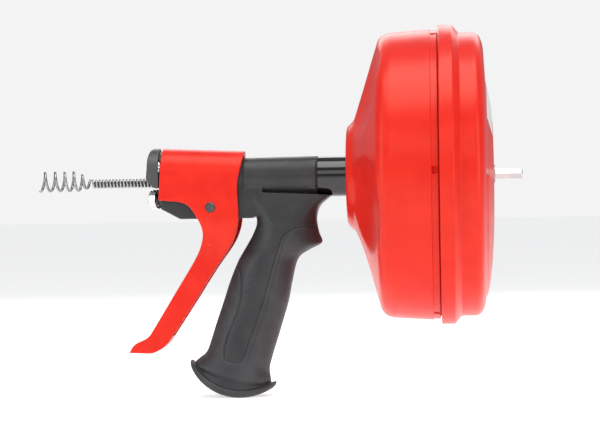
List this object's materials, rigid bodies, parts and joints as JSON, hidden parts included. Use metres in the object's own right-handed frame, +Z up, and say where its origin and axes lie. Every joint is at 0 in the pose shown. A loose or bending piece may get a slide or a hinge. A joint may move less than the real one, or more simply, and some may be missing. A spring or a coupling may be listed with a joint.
{
  "type": "drain snake machine",
  "caption": "Hand-held drain snake: cable drum turned by a hex drill shank, pistol grip with guide tube, squeeze lever with skewed feed rollers, cable ending in a bulb auger.",
  "frame": {"origin": "on the drum axis where the hex drive shank leaves the drum's back cover", "axes": "+X along the drum axis from the nose to the drive shank, +Z up with the grip pointing down, -Y the tool's left side"},
  "size_m": [0.3177, 0.1944, 0.24],
  "materials": {
    "handle_black": "satin moulded plastic",
    "overmould_rubber": "soft matte",
    "zinc_steel": "zinc plated",
    "tube_black": "glossy",
    "nylon": "natural nylon",
    "bearing_steel": "ground and polished",
    "drum_red": "satin gloss moulded",
    "bronze": "sintered bronze",
    "label_grey": "plain blank label",
    "shank_steel": "turned steel",
    "cable_steel": "drawn spring wire",
    "lever_red": "satin gloss moulded",
    "carrier_grey": "moulded",
    "pin_steel": "black oxide",
    "spring_steel": "spring wire"
  },
  "bodies": {
    "handle": {"handle_left_shell": "handle_black", "handle_right_shell": "handle_black", "grip_overmould": "overmould_rubber", "handle_screws": "zinc_steel", "guide_tube": "tube_black", "retaining_ring": "zinc_steel", "nose_bushing": "nylon", "lower_axle": "bearing_steel", "lower_inner_race": "bearing_steel", "lower_balls": "bearing_steel"},
    "drum": {"drum_front_shell": "drum_red", "drum_back_cover": "drum_red", "drum_bushing": "bronze", "thrust_washer": "nylon", "rear_label": "label_grey", "drive_shank": "shank_steel", "drive_plate": "shank_steel", "drive_screws": "zinc_steel", "cable_coil": "cable_steel", "cable_anchor": "shank_steel", "anchor_screw": "zinc_steel"},
    "trigger": {"feed_lever": "lever_red", "roller_carrier": "carrier_grey", "carrier_screw": "zinc_steel", "pivot_pin": "pin_steel", "pin_clip": "zinc_steel", "return_spring": "spring_steel", "upper_axles": "bearing_steel", "upper_inner_races": "bearing_steel", "upper_balls": "bearing_steel"},
    "lower_feed_roller": {"lower_roller": "bearing_steel"},
    "upper_left_feed_roller": {"upper_left_roller": "bearing_steel"},
    "upper_right_feed_roller": {"upper_right_roller": "bearing_steel"},
    "cable_tail": {"cable_loop": "cable_steel"},
    "cable": {"feed_cable": "cable_steel", "bulb_auger": "cable_steel"}
  },
  "joints": [
    {"name": "drum_spin", "type": "hinge", "parent": "handle", "child": "drum", "pos_m": [-0.08, 0, 0], "axis": [1, 0, 0], "continuous": true},
    {"name": "trigger_squeeze", "type": "hinge", "parent": "handle", "child": "trigger", "pos_m": [-0.1844, 0, -0.0192], "axis": [0, -1, 0], "range_deg": [0, 4], "stiffness_Nm_per_rad": 10, "springref_deg": -4.58, "deforming": ["return_spring"]},
    {"name": "lower_roller_spin", "type": "hinge", "parent": "handle", "child": "lower_feed_roller", "pos_m": [-0.2219, 0, -0.0134], "axis": [-0.9511, 0.309, 0], "continuous": true},
    {"name": "upper_left_roller_spin", "type": "hinge", "parent": "trigger", "child": "upper_left_feed_roller", "pos_m": [-0.22022, -0.00734, 0.00611], "axis": [-0.9653, -0.1986, -0.1698], "continuous": true},
    {"name": "upper_right_roller_spin", "type": "hinge", "parent": "trigger", "child": "upper_right_feed_roller", "pos_m": [-0.22022, 0.00734, 0.00611], "axis": [-0.9322, -0.1986, 0.3025], "continuous": true},
    {"name": "cable_spin", "type": "hinge", "parent": "handle", "child": "cable_tail", "pos_m": [-0.15, 0, -0.0026], "axis": [1, 0, 0], "continuous": true, "deforming": ["cable_loop"]},
    {"name": "cable_feed", "type": "slide", "parent": "cable_tail", "child": "cable", "axis": [-1, 0, 0], "range_m": [-0.034, 0.1]}
  ],
  "couplings": [
    {"joint": "cable_spin", "follows": "drum_spin", "ratio": 1}
  ]
}
